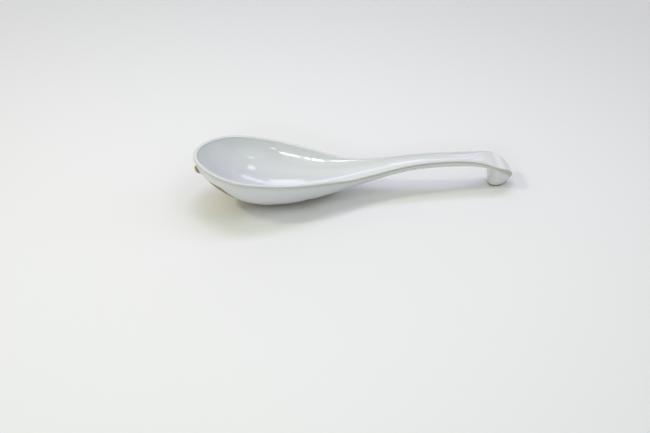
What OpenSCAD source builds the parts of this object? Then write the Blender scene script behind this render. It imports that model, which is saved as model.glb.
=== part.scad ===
// Glazed ceramic soup spoon with a deep egg-shaped bowl and a hooked handle, made in one piece.
// It is drawn the way a hull is: an outline from above, and a rim line and an underside line from the side.
// Cross sections hang between these lines, and one skin runs over all of them.
// The spoon lies along X with the bowl at -X and rests on the plane z = 0, on the bowl and on the hook.

/* [Overall] */
// Length from the tip of the bowl to the end of the handle
spoon_len = 170; // [160:1:185]

/* [Bowl outline from above] */
// Greatest width of the bowl over its rim
bowl_w = 50.8; // [44:0.2:58]
// Distance from the tip to the widest point
widest_x = 28; // [25:0.5:34]
// Bluntness of the tip: reach of the curve straight across it
tip_round = 12; // [9:0.5:16]
// Fullness ahead of the widest point
nose_run = 15; // [10:0.5:18]
// Fullness behind the widest point
shoulder_run = 39; // [30:0.5:44]

/* [Handle outline from above] */
// Width of the handle at its waist
waist_w = 10.3; // [9:0.1:13]
// Distance of the waist from the end of the handle
waist_back = 35; // [32:1:42]
// Reach of the slender part ahead of the waist
taper_run = 68; // [55:1:72]
// Reach of the slender part behind the waist
flare_run = 20.5; // [14:0.5:22]
// Width of the paddle at the end
paddle_w = 17.6; // [14:0.2:20]
// Distance of the widest point of the paddle from its end
paddle_back = 8.9; // [8:0.1:10.5]
// Fullness ahead of the widest point of the paddle
paddle_run = 6.6; // [3:0.2:8]
// Fullness of the paddle's corners
corner_run = 3; // [2:0.1:4]
// Bluntness of the paddle's end
end_round = 3.5; // [3:0.1:5]

/* [Rim line from the side] */
// Height of the rim at the tip of the bowl
tip_h = 28.7; // [25:0.1:32]
// Length of the straight fall of the rim behind the tip
fall_run = 60; // [50:1:64]
// Height lost along that straight fall
fall_h = 9.7; // [7:0.1:12]
// Distance from the tip to the lowest point of the rim
dip_x = 81; // [78:0.5:88]
// Height of the rim at its lowest point
dip_h = 14.8; // [12.5:0.1:17]
// Length of the level stretch ahead of the lowest point
dip_in = 6; // [4:0.5:12]
// Length of the level stretch behind the lowest point
dip_out = 20; // [12:0.5:24]
// Distance of the crest of the handle from its end
crest_back = 43.4; // [36:0.1:46]
// Height of the rim at the crest
crest_h = 18.2; // [16.5:0.1:21]
// Length of the level stretch ahead of the crest
crest_in = 24; // [15:0.5:28]
// Length of the level stretch behind the crest
crest_out = 33.5; // [26:0.5:35]
// Height of the paddle's end
end_h = 5.4; // [4.4:0.1:7]
// Length of the steep last stretch
bend_run = 3.5; // [3:0.1:6]
// Height of the steep last stretch
bend_h = 7; // [6:0.1:9]

/* [Underside line from the side] */
// Distance from the tip to the lowest point of the bowl
base_x = 46; // [42:0.5:50]
// Length of the level stretch behind the lowest point
base_run = 30; // [20:0.5:34]
// Depth that the flat of the base is ground off the round underside
base_cut = 0.4; // [0.2:0.1:0.8]
// Depth of the handle from its rim to its underside
handle_depth = 5.6; // [5:0.1:6.4]
// Length of the level stretch of the handle's underside ahead of the crest
under_run = 30; // [22:0.5:34]

/* [Wall and rim] */
// Thickness of the floor along the middle
floor_t = 3; // [2.4:0.1:3.6]
// Width of the flat rim round the bowl
bowl_rim = 2; // [1.5:0.1:2.6]
// Width of the flat rim along the handle
handle_rim = 1.2; // [1.1:0.1:1.8]
// Height of the upright edge below the rim
edge_t = 1.4; // [1.1:0.1:2]
// Height of the upright edge round the paddle's end
end_edge_t = 2.8; // [2:0.1:3.2]
// Greatest lean of the upright edge where the rim falls away
edge_lean = 18; // [8:1:24]
// How far the underside starts in from the edge
edge_in = 0.4; // [0.2:0.1:0.6]
// Radius of the rim's corners
rim_round = 0.5; // [0.3:0.05:0.55]
// Steepness of the outer wall at the tip
tip_wall = 80; // [70:1:84]
// Steepness of the outer wall along the sides
side_wall = 76; // [70:1:84]
// Steepness of the inner wall of the bowl
inner_wall = 70; // [62:1:76]
// Steepness of the inner wall of the handle's trough
trough_wall = 56; // [45:1:65]
// Distance from the end at which the trough starts to run out
trough_back = 26; // [22:0.5:30]

/* [Hook] */
// Distance of the hook's inner face from the end of the handle
hook_back = 13.9; // [12.5:0.1:15]
// Depth of the handle from its rim to its underside where it meets the hook
hook_depth = 4.6; // [4:0.1:5.4]
// Radius where the hook's inner face meets the handle
hook_fillet = 1; // [0.6:0.1:1.6]
// Length of the hook's foot along the spoon
foot_len = 7.9; // [6:0.1:8]
// Width of the hook's foot
foot_w = 8; // [6.5:0.1:9]
// How far the foot's inner edge lies behind the inner face
foot_set = 0.6; // [0.3:0.1:1.2]
// Swell of the hook's sides
hook_swell = 0.7; // [0:0.1:1.2]
// Radius of the foot's edge
foot_round = 0.5; // [0.4:0.1:0.8]

/* [Hidden] */

// Sections from the tip to the widest point, to the base, to the waist, to the hook, and round the paddle
TIP_STEPS = 14;
NOSE_STEPS = 5;
SIDE_STEPS = 30;
WAIST_STEPS = 8;
CHEEK_STEPS = 4;
END_STEPS = 9;
// Points of half a section across the top, down the hook's side, and across the underside
TOP_STEPS = 11;
HOOK_STEPS = 8;
UNDER_STEPS = 12;
// Halvings that place a height on a curve
HALVINGS = 26;

waist_x = spoon_len - waist_back;
paddle_x = spoon_len - paddle_back;
crest_x = spoon_len - crest_back;
hook_x = spoon_len - hook_back;
trough_end = spoon_len - trough_back;
foot_x = hook_x + foot_set + foot_len / 2;
// Depth below the ground to which the uncut base and foot reach
sink = 1;
// Places between the crest and the hook where the underside ends its level stretch and turns down
LEVEL_END = 0.6;
TURN_END = 0.8;
// Height above the hook's top at which the underside aims as it comes in
TURN_RISE = 0.6;
// Squareness of the foot's outline, where 2 is an ellipse
FOOT_SQUARE = 2.8;
// The angle round the foot, from the spoon's end, at which the hook's inner face ends
INNER_CORNER = 155;
// Turn from that corner to the first section of the cheek
CORNER_GAP = 6;
// Reach of the rim's fold over the inner face, ahead of and behind the face, in fillets
FOLD_AHEAD = 1.6;
FOLD_BEHIND = 0.3;
// Places between the fold and the paddle's widest point where the foot is sunk and where the cheek starts
SUNK_AT = 0.12;
CHEEK_AT = 0.3;
// Folds down the hook's inner face: place along the fold, share of the way down, and set back in fillets
FACE_FOLDS = [[0, 0, 1], [0.25, 0.03, 0.3], [0.5, 0.1, 0], [0.75, 0.9, 0]];

// A curve is four points: its start, its two pulls and its end
function curve_at(c, t) =
    let(u = 1 - t)
    u * u * u * c[0] + 3 * u * u * t * c[1] + 3 * u * t * t * c[2] + t * t * t * c[3];

function curve_dir(c, t) =
    let(u = 1 - t)
    u * u * (c[1] - c[0]) + 2 * u * t * (c[2] - c[1]) + t * t * (c[3] - c[2]);

// The place t on a curve whose x rises steadily
function curve_find(c, x, lo = 0, hi = 1, n = HALVINGS) =
    let(mid = (lo + hi) / 2)
    n == 0 ? mid :
    curve_at(c, mid).x < x ? curve_find(c, x, mid, hi, n - 1) : curve_find(c, x, lo, mid, n - 1);

// The curve of a line that covers x
function curve_over(line, x) =
    len(line) == 1 || x < line[0][3].x ? line[0] : curve_over([for (i = [1:len(line) - 1]) line[i]], x);

function line_at(line, x) = let(c = curve_over(line, x)) curve_at(c, curve_find(c, x)).y;

function line_slope(line, x) =
    let(c = curve_over(line, x), d = curve_dir(c, curve_find(c, x)))
    atan2(d.y, d.x);

function mix(a, b, t) = a + (b - a) * t;

function ease(t) = let(k = min(max(t, 0), 1)) k * k * (3 - 2 * k);

// Half the outline seen from above, as half width over x
outline = [
    [[0, 0], [0, tip_round], [widest_x - nose_run, bowl_w / 2], [widest_x, bowl_w / 2]],
    [[widest_x, bowl_w / 2], [widest_x + shoulder_run, bowl_w / 2],
        [waist_x - taper_run, waist_w / 2], [waist_x, waist_w / 2]],
    [[waist_x, waist_w / 2], [waist_x + flare_run, waist_w / 2],
        [paddle_x - paddle_run, paddle_w / 2], [paddle_x, paddle_w / 2]],
    [[paddle_x, paddle_w / 2], [paddle_x + corner_run, paddle_w / 2], [spoon_len, end_round], [spoon_len, 0]]
];

// Height of the rim over x
rim_line = [
    [[0, tip_h], [fall_run, tip_h - fall_h], [dip_x - dip_in, dip_h], [dip_x, dip_h]],
    [[dip_x, dip_h], [dip_x + dip_out, dip_h], [crest_x - crest_in, crest_h], [crest_x, crest_h]],
    [[crest_x, crest_h], [crest_x + crest_out, crest_h],
        [spoon_len - bend_run, end_h + bend_h], [spoon_len, end_h]]
];

// Height of the underside over x, along the middle, from the base to the hook
hook_top = line_at(rim_line, hook_x) - hook_depth;
under_line = [
    [[base_x, -base_cut], [base_x + base_run, -base_cut],
        [crest_x - under_run, crest_h - handle_depth], [crest_x, crest_h - handle_depth]],
    [[crest_x, crest_h - handle_depth], [mix(crest_x, hook_x, LEVEL_END), crest_h - handle_depth],
        [mix(crest_x, hook_x, TURN_END), hook_top + TURN_RISE], [hook_x, hook_top]]
];

// Share of the trough that is left at x: all of it in the bowl, none at the paddle
function trough_at(x) = 1 - ease((x - trough_end) / (paddle_x - trough_end));

function rim_width(x) = mix(bowl_rim, handle_rim, ease((x - base_x) / (crest_x - base_x)));

function edge_height(x) = mix(edge_t, end_edge_t, ease((x - hook_x) / hook_back));

// Height of the inside over x, along the middle
function inside_line(x) =
    let(rim = line_at(rim_line, x), floor = line_at(under_line, min(x, hook_x)) + floor_t)
    mix(rim, floor, trough_at(x));

// A section starts from a place on the outline. It holds the rim's point there, the level direction
// inwards across the rim, the slope of the rim line and the x at which the section crosses the middle.
function section(span, t, middle) =
    let(p = curve_at(outline[span], t), d = curve_dir(outline[span], t), n = [d.y, -d.x] / norm(d))
    [[p.x, p.y, line_at(rim_line, p.x)], n, line_slope(rim_line, p.x), middle];

// A point of the rim at some distance in from the edge and some depth below the top
function rim_point(s, inset, depth) =
    let(a = s[2], lean = max(a, -edge_lean), n = s[1])
    s[0] + inset * [n.x * cos(a), n.y, n.x * sin(a)] + depth * [sin(lean), 0, -cos(lean)];

// Places 0 to 1 along an arc that leaves level and ends at the given steepness, as run and rise
function arc_step(i, steps, wall) =
    let(a = wall * i / steps)
    [sin(a) / sin(wall), (1 - cos(a)) / (1 - cos(wall))];

function inner_corner(s) = rim_point(s, rim_width(s[0].x), rim_round * trough_at(s[0].x));

// Inner surface from the middle to the rim's inner corner
function inside_points(s) =
    let(
        q = inner_corner(s),
        m = s[3],
        wall = mix(inner_wall, trough_wall, ease((m - base_x) / (crest_x - base_x))),
        low = inside_line(m)
    )
    [for (i = [0:TOP_STEPS])
        let(a = arc_step(i, TOP_STEPS, wall), x = mix(m, q.x, a[0]))
        i == TOP_STEPS ? q :
        m <= base_x ? [x, q.y * a[0], mix(low, q.z, a[1])] :
        [x, q.y * a[0], mix(inside_line(x), line_at(rim_line, x) - rim_round * trough_at(x), a[1])]
    ];

// Rim from its inner corner to the start of the underside, with both corners rounded
function rim_points(s) =
    let(
        r = rim_round,
        k = r * (1 - cos(45)),
        f = trough_at(s[0].x),
        w = rim_width(s[0].x)
    )
    [
        rim_point(s, w - k, k * f),
        rim_point(s, w - r, 0),
        rim_point(s, r, 0),
        rim_point(s, k, k),
        rim_point(s, 0, r),
        rim_point(s, 0, edge_height(s[0].x) - edge_in),
        rim_point(s, edge_in, edge_height(s[0].x))
    ];

function edge_foot(s) = rim_point(s, edge_in, edge_height(s[0].x));

// Underside from the edge to the middle
function under_points(s) =
    let(
        e = edge_foot(s),
        m = s[3],
        wall = mix(tip_wall, side_wall, ease(s[0].x / base_x)),
        low = line_at(under_line, m)
    )
    [for (i = [UNDER_STEPS - 1:-1:0])
        let(a = arc_step(i, UNDER_STEPS, wall))
        [mix(m, e.x, a[0]), e.y * a[0], mix(low, e.z, a[1])]
    ];

// Point of the foot's outline, whose corners are rounded, at an angle from the spoon's end
function foot_point(angle, inset, z) =
    let(
        p = 2 / FOOT_SQUARE,
        c = cos(angle),
        s = sin(angle),
        l = foot_len / 2 - inset,
        w = foot_w / 2 - inset
    )
    [foot_x + l * sign(c) * pow(abs(c), p), w * pow(abs(s), p), z];

// Side of the hook from the edge down to the foot. It swells towards the spoon's end and draws in to
// the corners of the inner face.
function hook_side(s, angle) =
    let(
        e = edge_foot(s),
        f = foot_point(angle, 0, foot_round),
        drawn = ease((angle - 90) / (INNER_CORNER - 90))
    )
    [for (i = [1:HOOK_STEPS])
        let(
            t = i / HOOK_STEPS,
            out = hook_swell * sin(180 * t) * (1 - drawn),
            p = mix(e, f, t)
        )
        [p.x + out * max(cos(angle), 0), mix(e.y, f.y, mix(t, t * (2 - t), drawn)) + out * sin(angle), p.z]
    ];

// The hook's section at an angle round its foot, from the edge to the middle of the foot
function hook_points(s, angle) =
    let(f = foot_point(angle, foot_round / 2, -sink))
    concat(
        hook_side(s, angle),
        [for (i = [HOOK_STEPS + 1:UNDER_STEPS])
            mix(f, [foot_x, 0, -sink], (i - HOOK_STEPS - 1) / (UNDER_STEPS - HOOK_STEPS - 1))]
    );

// Lower edge of the hook's inner face: down the corner and along the foot to the middle
function face_foot(s, inset, z) =
    concat(
        hook_side(s, INNER_CORNER),
        [for (i = [HOOK_STEPS + 1:UNDER_STEPS])
            foot_point(mix(INNER_CORNER, 180, (i - HOOK_STEPS) / (UNDER_STEPS - HOOK_STEPS)), inset, z)]
    );

// The hook's inner face, part of the way down from the handle's underside
function face_points(s, down, back) =
    let(top = under_points(s), low = face_foot(s, 0, foot_round))
    [for (i = [0:UNDER_STEPS - 1])
        let(p = mix(top[i], low[i], down))
        [mix(hook_x, low[i].x, down) - back, p.y, p.z]
    ];

// The outline place t at which the span reaches x
function place(span, x) = curve_find(outline[span], x);

function half_section(s, below) = concat(inside_points(s), rim_points(s), below);

// Steps of t along a span, without its last place
function steps(from, to, n) = [for (i = [0:n - 1]) mix(from, to, i / n)];

base_t = place(1, base_x);
hook_t = place(2, hook_x - FOLD_AHEAD * hook_fillet);
cheek_t = place(2, hook_x + FOLD_BEHIND * hook_fillet);

function plain(s) = half_section(s, under_points(s));

tip_sections = [for (t = steps(0, 1, TIP_STEPS)) plain(section(0, t, base_x))];
nose_sections = [for (t = steps(0, base_t, NOSE_STEPS)) plain(section(1, t, base_x))];
side_sections = [for (t = steps(base_t, 1, SIDE_STEPS))
    plain(section(1, t, curve_at(outline[1], t).x))];
waist_sections = [for (t = steps(0, hook_t, WAIST_STEPS))
    plain(section(2, t, curve_at(outline[2], t).x))];

// Sections that fold down the hook's inner face
face_sections = [for (f = FACE_FOLDS)
    let(t = mix(hook_t, cheek_t, f[0]), s = section(2, t, curve_at(outline[2], t).x))
    half_section(s, face_points(s, f[1], f[2] * hook_fillet))];

cheek_start = section(2, cheek_t, curve_at(outline[2], cheek_t).x);
foot_sections = [
    half_section(cheek_start, face_foot(cheek_start, 0, foot_round)),
    let(t = mix(cheek_t, 1, SUNK_AT), s = section(2, t, curve_at(outline[2], t).x))
    half_section(s, face_foot(s, foot_round / 2, -sink))
];

// Angle round the foot for a section of the cheek or the end
HOOK_SECTIONS = CHEEK_STEPS + END_STEPS;
function hook_angle(i) = (INNER_CORNER - CORNER_GAP) * (1 - i / HOOK_SECTIONS);

cheek_sections = [for (i = [0:CHEEK_STEPS - 1])
    let(
        t = mix(mix(cheek_t, 1, CHEEK_AT), 1, i / CHEEK_STEPS),
        s = section(2, t, curve_at(outline[2], t).x)
    )
    half_section(s, hook_points(s, hook_angle(i)))];
end_sections = [for (i = [0:END_STEPS])
    let(s = section(3, i / END_STEPS, paddle_x))
    half_section(s, hook_points(s, hook_angle(CHEEK_STEPS + i)))];

halves = concat(tip_sections, nose_sections, side_sections, waist_sections, face_sections, foot_sections,
    cheek_sections, end_sections);

LAST = len(halves) - 1;
ROW = len(halves[0]);
// Sections up to the first share one point at the middle of the bowl. Those from the other two on share
// one at the end, on the top and on the foot.
BOWL_FAN = TIP_STEPS + NOSE_STEPS;
PADDLE_FAN = LAST - END_STEPS;
FOOT_FAN = LAST - HOOK_SECTIONS;

function mirrored(p, side) = [p.x - spoon_len / 2, side == 0 ? p.y : -p.y, p.z];

points = [for (side = [0, 1]) for (half = halves) for (p = half) mirrored(p, side)];

// Number of a point. Points that coincide have one number: those of the middle on both sides, and
// those of the sections that start at one middle point.
function point_no(side, k, j) =
    let(
        on_middle = j == 0 || j == ROW - 1 || k == 0 || k == LAST,
        row = j == 0 && k <= BOWL_FAN ? BOWL_FAN :
            j == 0 && k >= PADDLE_FAN ? PADDLE_FAN :
            j == ROW - 1 && k <= BOWL_FAN ? BOWL_FAN :
            j == ROW - 1 && k >= FOOT_FAN ? FOOT_FAN : k
    )
    ((on_middle ? 0 : side) * (LAST + 1) + row) * ROW + j;

function distinct(f) = f[0] != f[1] && f[1] != f[2] && f[2] != f[0];

faces = [for (side = [0, 1]) for (k = [0:LAST - 1]) for (j = [0:ROW - 2])
    let(
        a = point_no(side, k, j),
        b = point_no(side, k, j + 1),
        c = point_no(side, k + 1, j + 1),
        d = point_no(side, k + 1, j),
        pair = side == 0 ? [[a, b, c], [a, c, d]] : [[c, b, a], [d, c, a]]
    )
    for (f = pair) if (distinct(f)) f];

// The skin of the whole spoon, with the flats of the base and the foot ground level
module spoon() {
    color("white")
    difference() {
        polyhedron(points, faces);
        translate([-spoon_len, -bowl_w, -3 * sink])
            cube([2 * spoon_len, 2 * bowl_w, 3 * sink]);
    }
}

spoon();
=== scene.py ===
import math

import bmesh
import bpy
import numpy as np
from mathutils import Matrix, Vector


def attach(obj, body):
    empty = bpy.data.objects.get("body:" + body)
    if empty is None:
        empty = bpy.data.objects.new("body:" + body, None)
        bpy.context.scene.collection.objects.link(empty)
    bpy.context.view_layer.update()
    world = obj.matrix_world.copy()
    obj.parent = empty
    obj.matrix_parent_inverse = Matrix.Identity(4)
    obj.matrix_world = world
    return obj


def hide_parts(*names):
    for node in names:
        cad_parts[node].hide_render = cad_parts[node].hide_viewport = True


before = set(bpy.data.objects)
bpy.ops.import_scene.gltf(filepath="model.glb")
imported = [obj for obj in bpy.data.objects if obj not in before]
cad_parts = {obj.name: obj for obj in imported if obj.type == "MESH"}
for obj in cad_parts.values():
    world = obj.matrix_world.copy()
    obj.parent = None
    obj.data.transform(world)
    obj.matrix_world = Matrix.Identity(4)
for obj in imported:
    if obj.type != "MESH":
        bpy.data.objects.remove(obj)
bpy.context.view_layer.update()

# The spoon: one piece of white ceramic, pressed in a mould, ground flat under its belly and under the
# hook's foot, and fired. Its skin hangs between an outline from above, a rim line and an underside line,
# as a hull does. Lengths are in millimetres from the bowl's tip, as in the part's source, drawn far finer.
LENGTH, HALF_BOWL, WIDEST = 170.0, 25.4, 28.0
WAIST, HALF_WAIST = 135.0, 5.15
PADDLE, HALF_PADDLE = 161.1, 8.8
TIP_HIGH, END_HIGH = 28.7, 5.4
DIP, DIP_HIGH = 81.0, 14.8
CREST, CREST_HIGH, CREST_UNDER = 126.6, 18.2, 12.6
BASE, BASE_CUT, FLOOR_THICK = 46.0, 0.4, 3.0
TROUGH_END = 144.0
BOWL_RIM, HANDLE_RIM, RIM_ROUND = 2.0, 1.2, 0.5
EDGE, END_EDGE, EDGE_IN, EDGE_LEAN = 1.4, 2.8, 0.4, math.radians(18)
TIP_WALL, SIDE_WALL, INNER_WALL, TROUGH_WALL = (math.radians(a) for a in (80, 76, 70, 56))
HOOK, HOOK_DEPTH, HOOK_SAG, FILLET, SWELL = 156.1, 4.6, 0.6, 1.0, 0.7
FOOT_LEN, FOOT_W, FOOT_ROUND, FOOT_BACK, FOOT_SQUARE = 7.9, 8.0, 0.5, 0.6, 2.8
FOOT_X = HOOK + FOOT_BACK + FOOT_LEN / 2
INNER_CORNER, CORNER_GAP = math.radians(155), math.radians(2)

# Each line is a row of arcs, and each arc is four points: its start, the two that pull it, and its end
OUTLINE = [
    [(0, 0), (0, 12), (WIDEST - 15, HALF_BOWL), (WIDEST, HALF_BOWL)],
    [(WIDEST, HALF_BOWL), (WIDEST + 39, HALF_BOWL), (WAIST - 68, HALF_WAIST), (WAIST, HALF_WAIST)],
    [(WAIST, HALF_WAIST), (WAIST + 20.5, HALF_WAIST), (PADDLE - 6.6, HALF_PADDLE), (PADDLE, HALF_PADDLE)],
    [(PADDLE, HALF_PADDLE), (PADDLE + 3, HALF_PADDLE), (LENGTH, 3.5), (LENGTH, 0)],
]
RIM_LINE = [
    [(0, TIP_HIGH), (60, 19), (DIP - 6, DIP_HIGH), (DIP, DIP_HIGH)],
    [(DIP, DIP_HIGH), (DIP + 20, DIP_HIGH), (CREST - 24, CREST_HIGH), (CREST, CREST_HIGH)],
    [(CREST, CREST_HIGH), (CREST + 33.5, CREST_HIGH), (LENGTH - 3.5, 12.4), (LENGTH, END_HIGH)],
]
HALVINGS = 40


def curve(pulls, t):
    """Points of an arc, for t from 0 at its start to 1 at its end."""
    p, t = np.array(pulls, float), np.asarray(t, float)[..., None]
    return (1 - t) ** 3 * p[0] + 3 * (1 - t) ** 2 * t * p[1] + 3 * (1 - t) * t * t * p[2] + t**3 * p[3]


def heading(pulls, t):
    """Which way an arc runs at t."""
    p, t = np.array(pulls, float), np.asarray(t, float)[..., None]
    return (1 - t) ** 2 * (p[1] - p[0]) + 2 * (1 - t) * t * (p[2] - p[1]) + t * t * (p[3] - p[2])


def place(pulls, x):
    """Where along an arc it reaches x."""
    x = np.asarray(x, float)
    low, high = np.zeros_like(x), np.ones_like(x)
    for _ in range(HALVINGS):
        middle = (low + high) / 2
        short = curve(pulls, middle)[..., 0] < x
        low, high = np.where(short, middle, low), np.where(short, high, middle)
    return (low + high) / 2


def line_at(line, x):
    """Height and slope angle of a line at x."""
    x = np.asarray(x, float)
    height, slope = np.zeros_like(x), np.zeros_like(x)
    for i, pulls in enumerate(line):
        here = (x >= pulls[0][0]) if i else np.ones_like(x, bool)
        t = place(pulls, np.clip(x, pulls[0][0], pulls[3][0]))
        d = heading(pulls, t)
        height = np.where(here, curve(pulls, t)[..., 1], height)
        slope = np.where(here, np.arctan2(d[..., 1], np.maximum(d[..., 0], 1e-9)), slope)
    return height, slope


def mix(a, b, t):
    return a + (b - a) * t


def ease(t):
    """From 0 to 1 as t goes from 0 to 1, level at both ends."""
    t = np.clip(t, 0, 1)
    return t * t * (3 - 2 * t)


hook_top = float(line_at(RIM_LINE, HOOK)[0]) - HOOK_DEPTH
UNDER_LINE = [
    [(BASE, -BASE_CUT), (BASE + 30, -BASE_CUT), (CREST - 30, CREST_UNDER), (CREST, CREST_UNDER)],
    [(CREST, CREST_UNDER), (mix(CREST, HOOK, 0.6), CREST_UNDER),
     (mix(CREST, HOOK, 0.8), hook_top + HOOK_SAG), (HOOK, hook_top)],
]


def trough(x):
    """How hollow the top is: 1 in the bowl and along the handle, easing to 0 at the paddle."""
    return 1 - ease((x - TROUGH_END) / (PADDLE - TROUGH_END))


def inside_line(x):
    """Height of the middle of the top: a floor's thickness above the underside, or the rim's on the paddle."""
    return mix(line_at(RIM_LINE, x)[0], line_at(UNDER_LINE, np.minimum(x, HOOK))[0] + FLOOR_THICK, trough(x))


# The cross sections, each an arc of the outline and a place on it: the bowl, the neck, the grip, the folds of
# the hook's inner face, the corner of that face, the cheeks and the paddle's end
BOWL_CUTS, NECK_CUTS, GRIP_CUTS, FACE_CUTS, CHEEK_CUTS, END_CUTS = 64, 130, 40, 6, 16, 36
FOLDS_FROM, FOLDS_TO = HOOK - 1.6 * FILLET, HOOK + 0.3 * FILLET
CORNER_TO, CHEEKS_FROM = 0.25, 0.3
hook_t, cheek_t = float(place(OUTLINE[2], FOLDS_FROM)), float(place(OUTLINE[2], FOLDS_TO))
stations = [(0, t) for t in np.linspace(0, 1, BOWL_CUTS, endpoint=False)]
stations += [(1, t) for t in np.linspace(0, 1, NECK_CUTS, endpoint=False)]
stations += [(2, t) for t in np.linspace(0, hook_t, GRIP_CUTS, endpoint=False)]
PLAIN = len(stations)

# Each fold: how far it lies from the grip to the cheeks, how far down the inner face, and how far back of it
FILLET_SHARE, FILLET_DOWN = 0.5, 0.1
folds = []
for a in range(0, 91, 15):
    down, back = 1 - math.cos(math.radians(a)), 1 - math.sin(math.radians(a))
    folds.append((FILLET_SHARE * a / 90, FILLET_DOWN * down, FILLET * back))
for i in range(1, FACE_CUTS + 1):
    folds.append((mix(FILLET_SHARE, 1, i / FACE_CUTS), mix(FILLET_DOWN, 1, i / FACE_CUTS), 0))
stations += [(2, mix(hook_t, cheek_t, fold[0])) for fold in folds]
rounds = [math.radians(a) for a in (25, 50, 75, 90)]
corner_t, cheeks_t = mix(cheek_t, 1, CORNER_TO), mix(cheek_t, 1, CHEEKS_FROM)
stations += [(2, mix(cheek_t, corner_t, (i + 1) / len(rounds))) for i in range(len(rounds))]
stations += [(2, mix(cheeks_t, 1, i / CHEEK_CUTS)) for i in range(CHEEK_CUTS)]
stations += [(3, t) for t in np.linspace(0, 1, END_CUTS + 1)]
COUNT = len(stations)

# Where each section starts on the rim, and where it ends on the middle line, which turns the sections across
# the handle but fans them out round the bowl
FAN, FAN_FROM, FAN_FADE = 16, 60, 60
rim_xy = np.array([curve(OUTLINE[arc], t) for arc, t in stations])
along = np.array([heading(OUTLINE[arc], t) for arc, t in stations])
inward = np.stack([along[:, 1], -along[:, 0]], 1) / np.linalg.norm(along, axis=1)[:, None]
rim_z, fall = line_at(RIM_LINE, rim_xy[:, 0])
past_base = rim_xy[:, 0] - BASE
spread = FAN * (1 - ease((rim_xy[:, 0] - FAN_FROM) / FAN_FADE))
middle = np.minimum(BASE + (past_base + np.sqrt(past_base**2 + spread**2)) / 2, PADDLE)
rim_width = mix(BOWL_RIM, HANDLE_RIM, ease((rim_xy[:, 0] - BASE) / (CREST - BASE)))
edge_height = mix(EDGE, END_EDGE, ease((rim_xy[:, 0] - HOOK) / (LENGTH - HOOK)))


def on_rim(inset, depth):
    """Points some way in from the edge and some way down from the rim's top."""
    lean = np.maximum(fall, -EDGE_LEAN)
    return np.stack([
        rim_xy[:, 0] + inset * inward[:, 0] * np.cos(fall) + depth * np.sin(lean),
        rim_xy[:, 1] + inset * inward[:, 1],
        rim_z + inset * inward[:, 0] * np.sin(fall) - depth * np.cos(lean)], -1)


def swing(u, wall):
    """Run and rise along an arc that leaves level and ends at the wall's steepness."""
    return np.sin(wall * u) / np.sin(wall), (1 - np.cos(wall * u)) / (1 - np.cos(wall))


# The skin's rows, from the middle of the inside up to the rim, over it and down the upright edge. A painted
# shade goes with each row: how much olive grey is painted there as shade and as the floor's reflection
TOPS, SIDES, UNDERS = 44, 42, 60
# These shares of olive grey on the rim, its corner and the edge's foot are painted shade and reflection
RIM_SHADE, CORNER_SHADE, FOOT_SHADE, SHADE_ROWS = 0.1, 0.25, 0.4, 3
HANDLE_FROM = BASE + 20
rows, edge_shades = [], []
hollow = trough(rim_xy[:, 0])
corner = on_rim(rim_width, RIM_ROUND * hollow)
inner_wall = mix(INNER_WALL, TROUGH_WALL, ease((middle - BASE) / (CREST - BASE)))
for u in np.linspace(0, 1, TOPS + 1)[:-1]:
    run, rise = swing(u, inner_wall)
    x = mix(middle, corner[:, 0], run)
    wall_top = np.where(middle > HANDLE_FROM, line_at(RIM_LINE, x)[0] - RIM_ROUND * trough(x), corner[:, 2])
    rows.append(np.stack([x, corner[:, 1] * run, mix(inside_line(x), wall_top, rise)], -1))
    edge_shades.append(0.0)
quarter = [math.radians(a) for a in (0, 18, 36, 54, 72, 90)]
for a in quarter:
    rows.append(on_rim(rim_width - RIM_ROUND * (1 - math.cos(a)), RIM_ROUND * hollow * (1 - math.sin(a))))
    edge_shades.append(RIM_SHADE)
for a in quarter:
    rows.append(on_rim(RIM_ROUND * (1 - math.sin(a)), RIM_ROUND * (1 - math.cos(a))))
    edge_shades.append(mix(CORNER_SHADE, 1, math.sin(a)))
for a in quarter:
    rows.append(on_rim(EDGE_IN * (1 - math.cos(a)), edge_height - EDGE_IN + EDGE_IN * math.sin(a)))
    edge_shades.append(mix(1, FOOT_SHADE, math.sin(a)))
RIMS = len(rows)
edge_shades += [FOOT_SHADE * max(0.0, 1 - i / SHADE_ROWS) for i in range(UNDERS)]

# The underside, from the foot of the upright edge to the middle, as if there were no hook
edge_foot = on_rim(EDGE_IN, edge_height)
outer_wall = mix(TIP_WALL, SIDE_WALL, ease(rim_xy[:, 0] / BASE))
below = np.zeros((COUNT, UNDERS, 3))
for i, u in enumerate(np.linspace(1, 0, UNDERS + 1)[1:]):
    run, rise = swing(u, outer_wall)
    x = mix(middle, edge_foot[:, 0], run)
    low = line_at(UNDER_LINE, np.clip(x, BASE, HOOK))[0]
    below[:, i] = np.stack([x, edge_foot[:, 1] * run, mix(low, edge_foot[:, 2], rise)], -1)


def foot_at(angle, inset, z):
    """A point of the foot's outline, a squarish oval; angle 0 is its outer end."""
    c, s, p = math.cos(angle), math.sin(angle), 2 / FOOT_SQUARE
    return np.array([FOOT_X + (FOOT_LEN / 2 - inset) * math.copysign(abs(c) ** p, c),
                     (FOOT_W / 2 - inset) * abs(s) ** p, z])


def hook_side(k, angle):
    """The hook's side at one section, from the edge down to the foot."""
    drawn = float(ease((angle - math.pi / 2) / (INNER_CORNER - math.pi / 2)))
    foot = foot_at(angle, 0, FOOT_ROUND)
    points = []
    for i in range(1, SIDES + 1):
        t = i / SIDES
        out = SWELL * math.sin(math.pi * t) * (1 - drawn)
        p = mix(edge_foot[k], foot, t)
        points.append([p[0] + out * max(math.cos(angle), 0),
                       mix(edge_foot[k][1], foot[1], mix(t, t * (2 - t), drawn)) + out * math.sin(angle), p[2]])
    return points


def under_foot(angle):
    """From the foot's rounded edge to its middle."""
    turn = [foot_at(angle, FOOT_ROUND * (1 - math.cos(a)), FOOT_ROUND * (1 - math.sin(a))) for a in rounds]
    rest = UNDERS - SIDES - len(turn)
    return turn + [mix(turn[-1], np.array([FOOT_X, 0, 0]), (i + 1) / rest) for i in range(rest)]


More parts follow.
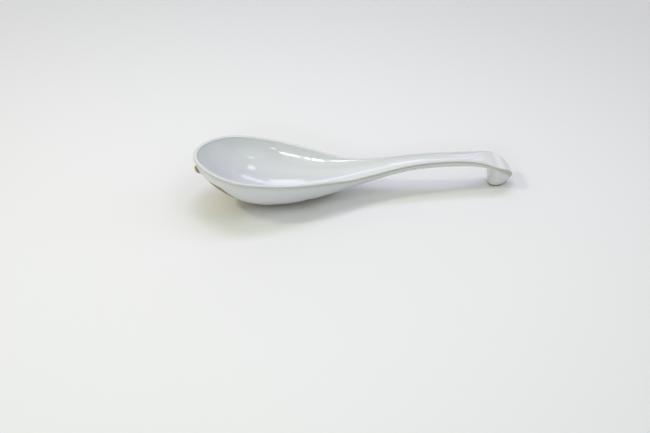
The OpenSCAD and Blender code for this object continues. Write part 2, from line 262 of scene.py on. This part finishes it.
def inner_foot(k, inset, z):
    """Down the corner of the inner face and along the foot's inner edge to the middle."""
    rest = UNDERS - SIDES
    return np.array(hook_side(k, INNER_CORNER) + [
        foot_at(mix(INNER_CORNER, math.pi, (i + 1) / rest), inset, z) for i in range(rest)])


# The hook: the last sections are drawn down to the foot, the folds first, then the corner, cheeks and end
for i, (_, down, back) in enumerate(folds):
    k = PLAIN + i
    low = inner_foot(k, 0, FOOT_ROUND)
    face = mix(below[k], low, down)
    face[:, 0] = mix(HOOK, low[:, 0], down) - back
    below[k] = face
for i, a in enumerate(rounds):
    k = PLAIN + len(folds) + i
    below[k] = inner_foot(k, FOOT_ROUND * (1 - math.cos(a)), FOOT_ROUND * (1 - math.sin(a)))
first = PLAIN + len(folds) + len(rounds)
for k in range(first, COUNT):
    angle = (INNER_CORNER - CORNER_GAP) * (1 - (k - first) / (CHEEK_CUTS + END_CUTS))
    below[k] = np.array(hook_side(k, angle) + under_foot(angle))
below[..., 2] = np.maximum(below[..., 2], 0)

# The gold-brown glaze under the bowl, as if the tip had been dipped at a slant and the belly set down in a
# shallow pool of it, with one drop left standing proud below the tip. Its mark on the skin is how far below
# the gold's edge each point lies, in millimetres.
DIP_LEVEL, DIP_START, DIP_FALL = 19.9, 32.0, 1.0
POOL, POOL_CORNER, GOLD_END = 3.0, 2, CREST - 30
SPOT, SPOT_FROM, SPOT_TO, SPOT_EASE = 3.2, 53, 62, 4
NO_GOLD = -5.0
DROP, DROP_OUT = np.array([2.3, 6.0, 24.1]), np.array([-0.90, -0.36, -0.25])
DROP_WIDE, DROP_HIGH, DROP_SKIRT, DROP_GOLD = 3.0, 2.1, 0.3, 16


def higher(a, b):
    """The higher of two heights, with the corner between them rounded."""
    return (a + b + np.sqrt((a - b) ** 2 + POOL_CORNER**2)) / 2


x, z = below[..., 0], below[..., 2]
spot = SPOT * ease((x - SPOT_FROM) / SPOT_EASE) * ease((SPOT_TO - x) / SPOT_EASE)
gold_top = higher(-higher(-DIP_LEVEL, DIP_FALL * x - DIP_START), POOL) + spot
gold = np.full((2, COUNT, RIMS + UNDERS), NO_GOLD)
gold[:, :, RIMS:] = np.where(x < GOLD_END, gold_top - z, NO_GOLD)

# Both halves as one mesh: the far one, then the near one with the drop. Points that meet are joined.
MILLIMETRE, POINTS_PER_METRE, NO_LENGTH = 0.001, 1e6, 2e-7
half = np.concatenate([np.stack(rows, 1), below], 1)
halves = np.stack([half, half * [1, -1, 1]])
away = np.linalg.norm(halves[1, :, RIMS:] - DROP * [1, -1, 1], axis=-1)
swollen = np.maximum(1 - (away / DROP_WIDE) ** 2, 0)
halves[1, :, RIMS:] += DROP_HIGH * swollen[..., None] * DROP_OUT
gold[1, :, RIMS:] = np.maximum(gold[1, :, RIMS:], DROP_GOLD * (swollen - DROP_SKIRT))
points = (halves.reshape(-1, 3) - [LENGTH / 2, 0, 0]) * MILLIMETRE
_, keep, number = np.unique(
    np.round(points * POINTS_PER_METRE).astype(np.int64), axis=0, return_index=True, return_inverse=True)
number = number.reshape(2, COUNT, half.shape[1])
faces = []
for side in (0, 1):
    a, b = number[side, :-1, :-1], number[side, :-1, 1:]
    c, d = number[side, 1:, 1:], number[side, 1:, :-1]
    for quad in np.stack([a, b, c, d], -1).reshape(-1, 4).tolist():
        ring = list(dict.fromkeys(quad if side == 0 else quad[::-1]))
        if len(ring) > 2:
            faces.append(ring)

body = bpy.data.meshes.new("porcelain")
body.from_pydata(points[keep].tolist(), [], faces)
# Round the tip less olive grey is painted on the upright edge as shade and reflection
TIP_SHADE, SHADE_FROM, SHADE_OVER = 0.65, 50, 50
edge_shade_weights = np.outer(mix(TIP_SHADE, 1, ease((rim_xy[:, 0] - SHADE_FROM) / SHADE_OVER)), edge_shades)
marks = body.attributes.new("edge_painted_shade", "FLOAT", "POINT")
marks.data.foreach_set("value", np.tile(edge_shade_weights.ravel(), 2)[keep].astype(np.float32))
marks = body.attributes.new("gold_reach", "FLOAT", "POINT")
marks.data.foreach_set("value", gold.ravel()[keep].astype(np.float32))
skin = bmesh.new()
skin.from_mesh(body)
bmesh.ops.dissolve_degenerate(skin, dist=NO_LENGTH, edges=skin.edges)
bmesh.ops.recalc_face_normals(skin, faces=skin.faces)
skin.to_mesh(body)
skin.free()
body.shade_smooth()
spoon = bpy.data.objects.new("glazed_spoon", body)
bpy.context.scene.collection.objects.link(spoon)
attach(spoon, "root")
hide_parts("spoon")

# The spoon's glaze: glossy white over pale clay, poured on before the firing. Olive grey is painted on the
# upright edge and the rim as shade and reflection. It is gold-brown where the bowl was dipped, brightest where
# the gold is deep, and is wiped off the two ground flats, which show bare clay, painted dark as a contact
# shadow.
# The olive grey is painted shade and reflection on the upright edge and the rim
WHITE, EDGE_SHADE_OLIVE = (0.636, 0.648, 0.682, 1), (0.45, 0.435, 0.375, 1)
BROWN, GOLD = (0.15, 0.080, 0.012, 1), (0.52, 0.42, 0.21, 1)
# Bare clay on the ground flats, painted dark enough to be the contact shadow under the belly and the foot
BARE_CLAY_AND_CONTACT_SHADE = (0.20, 0.17, 0.13, 1)
EDGE_SHADE_SHARE = 0.95
GOLD_WAVER, GOLD_WAVER_GRAIN = 0.8, 300.0
GOLD_EDGE, GOLD_DEEP = (-0.15, 0.15), (1.0, 10.0)
BARE_AND_CONTACT_SHADE_HEIGHTS = (0.0007, 0.0013)
GLOSS, CLOUD, CLOUD_GRAIN, CLAY_MATT = 0.06, 0.04, 45.0, 0.5
RIPPLE, RIPPLE_HEIGHT, RIPPLE_GRAIN = 0.05, 0.0004, 60.0
GLAZE_IOR = 1.52


class Shade:
    """One socket of a material's nodes. Arithmetic adds Math nodes, and node() adds any other."""

    def __init__(self, tree, socket=None):
        self.tree, self.socket = tree, socket

    def node(self, kind, settings=None, out=0, **inputs):
        """A new node; an input goes by its name, with _ for a space, or as at0, at1 and so on by its number."""
        n = self.tree.nodes.new("ShaderNode" + kind)
        for name, value in (settings or {}).items():
            setattr(n, name, value)
        for name, value in inputs.items():
            socket = n.inputs[int(name[2:])] if name.startswith("at") else n.inputs[name.replace("_", " ")]
            if isinstance(value, Shade):
                self.tree.links.new(value.socket, socket)
            else:
                socket.default_value = value
        return Shade(self.tree, n.outputs[out])

    def maths(self, operation, a, b):
        return self.node("Math", {"operation": operation}, at0=a, at1=b)

    def __add__(self, other):
        return self.maths("ADD", self, other)

    def __radd__(self, other):
        return self.maths("ADD", other, self)

    def __sub__(self, other):
        return self.maths("SUBTRACT", self, other)

    def __rsub__(self, other):
        return self.maths("SUBTRACT", other, self)

    def __mul__(self, other):
        return self.maths("MULTIPLY", self, other)

    def __rmul__(self, other):
        return self.maths("MULTIPLY", other, self)

    def ramp(self, start, end):
        """From 0 where this is at start to 1 where it is at end."""
        return self.node("MapRange", {"interpolation_type": "SMOOTHSTEP"},
                         Value=self, From_Min=start, From_Max=end)

    def noise(self, where, grain, detail=2.0):
        return self.node("TexNoise", Vector=where, Scale=grain, Detail=detail)

    def blend(self, a, b):
        """Colour a where this is 0 and colour b where it is 1."""
        return self.node("Mix", {"data_type": "RGBA"}, out=2, at0=self, at6=a, at7=b)


def fresh_material(name):
    m = bpy.data.materials.new(name)
    m.use_nodes = True
    m.node_tree.nodes.clear()
    return m, Shade(m.node_tree)


def finish_material(shade, surface):
    end = shade.tree.nodes.new("ShaderNodeOutputMaterial")
    shade.tree.links.new(surface.socket, end.inputs["Surface"])


glaze, g = fresh_material("white_glaze")
where = g.node("TexCoord", out="Object")
# How much painted olive shade and reflection each point of the upright edge and rim gets
edge = g.node("Attribute", {"attribute_name": "edge_painted_shade"}, out="Fac")
reach = g.node("Attribute", {"attribute_name": "gold_reach"}, out="Fac")
reach = reach + (g.noise(where, GOLD_WAVER_GRAIN) - 0.5) * GOLD_WAVER
white_with_edge_shade = (edge * EDGE_SHADE_SHARE).blend(WHITE, EDGE_SHADE_OLIVE)
dipped = reach.ramp(*GOLD_DEEP).blend(BROWN, GOLD)
# The lowest millimetre gets the bare clay's colour, which is also painted contact shadow
bare_clay_and_contact_shade = 1 - g.node("SeparateXYZ", out="Z", Vector=where).ramp(*BARE_AND_CONTACT_SHADE_HEIGHTS)
colour = bare_clay_and_contact_shade.blend(reach.ramp(*GOLD_EDGE).blend(white_with_edge_shade, dipped), BARE_CLAY_AND_CONTACT_SHADE)
roughness = GLOSS + g.noise(where, CLOUD_GRAIN) * CLOUD + bare_clay_and_contact_shade * CLAY_MATT
ripple = g.node("Bump", Strength=RIPPLE, Distance=RIPPLE_HEIGHT, Height=g.noise(where, RIPPLE_GRAIN, 1.0))
finish_material(g, g.node(
    "BsdfPrincipled", Base_Color=colour, Roughness=roughness, IOR=GLAZE_IOR, Normal=ripple))
body.materials.append(glaze)

# The table: a wide sheet of matt white card that the spoon stands on. It isn't part of the object, so it is the
# stage. Away from the spoon it is painted greyer, a painted fall-off of the light.
SHEET_SIZE, SHEET_MATT = 6, 0.6
NEAR_WHITE, FAR_PAINTED_FALLOFF = (0.737, 0.729, 0.747, 1), (0.575, 0.569, 0.583, 1)
WHITE_MIDDLE, FALLOFF_SPAN = (-0.04, -0.04, 0), (0.08, 0.42)
bpy.ops.mesh.primitive_plane_add(size=SHEET_SIZE, location=(0, 0, 0))
table = bpy.context.object
table.name = "table"
card, s = fresh_material("table_sheet")
# The card's colour darkens with distance from the spoon: painted fall-off of the light
from_spoon = s.node(
    "VectorMath", {"operation": "DISTANCE"}, out="Value", at0=s.node("TexCoord", out="Object"), at1=WHITE_MIDDLE)
card_with_painted_falloff = from_spoon.ramp(*FALLOFF_SPAN).blend(NEAR_WHITE, FAR_PAINTED_FALLOFF)
finish_material(s, s.node("BsdfPrincipled", Base_Color=card_with_painted_falloff, Roughness=SHEET_MATT))
table.data.materials.append(card)

# The camera of the photograph: it looks down on the spoon from the side, the bowl to its left, from 650 mm
# away. Its place, aim and zoom were solved from the spoon's outline in the photograph, 650 pixels wide.
CAMERA_AZIMUTH, CAMERA_ELEVATION = math.radians(7.03), math.radians(34)
CAMERA_DISTANCE = 0.650
FOCAL_PIXELS, IMAGE_WIDTH, SENSOR_WIDTH = 1254.1, 650, 36
AIM = Vector((-0.01938, -0.02179, 0))
eye = bpy.data.cameras.new("camera")
eye.sensor_width = SENSOR_WIDTH
eye.lens = FOCAL_PIXELS / IMAGE_WIDTH * SENSOR_WIDTH
camera = bpy.data.objects.new("camera", eye)
bpy.context.scene.collection.objects.link(camera)
toward_eye = Vector((-math.sin(CAMERA_AZIMUTH) * math.cos(CAMERA_ELEVATION),
                     -math.cos(CAMERA_AZIMUTH) * math.cos(CAMERA_ELEVATION), math.sin(CAMERA_ELEVATION)))
camera.location = AIM + CAMERA_DISTANCE * toward_eye
camera.rotation_mode = "QUATERNION"
camera.rotation_quaternion = (-toward_eye).to_track_quat("-Z", "Y")
bpy.context.scene.camera = camera

# The light: large soft panels all round, a small warm lamp off the bowl's tip that gives the crisp shadow, a
# long bluish strip high up behind the spoon, and small windows and glints, which the glaze mirrors as the
# highlights of the photograph. The room adds a dim greenish light, and looks pale grey when it is seen.
LAMP_DISTANCE = 1.2
# Each lamp: azimuth from +Y towards +X and elevation in degrees, width and height in metres, and the watts of
# its red, green and blue
LAMPS = {
    "warm_lamp": (-89, 45, 0.10, 0.10, 2.94, 2.98, 2.20),
    "top_panel": (0, 90, 1.40, 1.40, 1.20, 1.12, 1.60),
    "front_panel": (180, 50, 1.60, 1.00, 0.95, 0.90, 0.78),
    "front_left_panel": (-145, 30, 0.80, 0.50, 1.25, 1.30, 1.45),
    "front_right_panel": (160, 32, 0.80, 0.50, 0.75, 0.74, 0.90),
    "left_panel": (-90, 30, 1.20, 0.80, 2.80, 2.60, 2.20),
    "right_panel": (90, 30, 1.20, 0.80, 2.05, 1.85, 2.25),
    "back_panel": (-14, 30, 1.30, 0.80, 1.75, 1.62, 1.95),
    "back_low_panel": (38, 6, 0.64, 0.34, 0.50, 0.50, 0.50),
    "window_wide": (-161.7, 23.3, 0.240, 0.084, 0.92, 0.92, 0.92),
    "window_narrow": (-151.3, 23.5, 0.064, 0.145, 0.52, 0.52, 0.52),
    "window_low": (-171, 17, 0.080, 0.048, 0.10, 0.10, 0.10),
    "glint_front": (160, 43, 0.26, 0.09, 0.28, 0.28, 0.28),
    "glint_right": (119, 62.5, 0.32, 0.16, 0.75, 0.75, 0.75),
}
ROOM_LIGHT, ROOM_SEEN = (0.25, 0.31, 0.19, 1), (0.58, 0.58, 0.58, 1)


def lamp(name, place_at, look_at, size, watts):
    """A flat lamp; watts are its red, green and blue."""
    data = bpy.data.lights.new(name, "AREA")
    data.shape = "RECTANGLE"
    data.size, data.size_y = size
    data.energy = max(watts)
    data.color = [w / data.energy for w in watts]
    hung = bpy.data.objects.new(name, data)
    hung.location = place_at
    hung.rotation_mode = "QUATERNION"
    hung.rotation_quaternion = (Vector(look_at) - Vector(place_at)).to_track_quat("-Z", "Y")
    bpy.context.scene.collection.objects.link(hung)


for name, (azimuth, elevation, width, height, *watts) in LAMPS.items():
    a, e = math.radians(azimuth), math.radians(elevation)
    toward = Vector((math.cos(e) * math.sin(a), math.cos(e) * math.cos(a), math.sin(e)))
    lamp(name, toward * LAMP_DISTANCE, look_at=(0, 0, 0), size=(width, height), watts=watts)
lamp("strip", (0.165, 0.517, 1.1), look_at=(0.165, 0, 0), size=(1.32, 0.24), watts=(3.20, 2.90, 4.50))
lamp("strip_middle", (0, 0.242, 1.1), look_at=(0, 0, 0), size=(0.33, 0.26), watts=(1.20, 1.22, 1.25))
room = bpy.data.worlds.new("room")
bpy.context.scene.world = room
room.use_nodes = True
r = Shade(room.node_tree)
seen = r.node("LightPath", out="Is Camera Ray")
for ray in ("Is Glossy Ray", "Is Transmission Ray"):
    seen = r.maths("MAXIMUM", seen, r.node("LightPath", out=ray))
walls = seen.blend(ROOM_LIGHT, ROOM_SEEN)
room.node_tree.links.new(walls.socket, room.node_tree.nodes["Background"].inputs["Color"])

bpy.context.scene.view_settings.view_transform = "Standard"
bpy.context.view_layer.update()
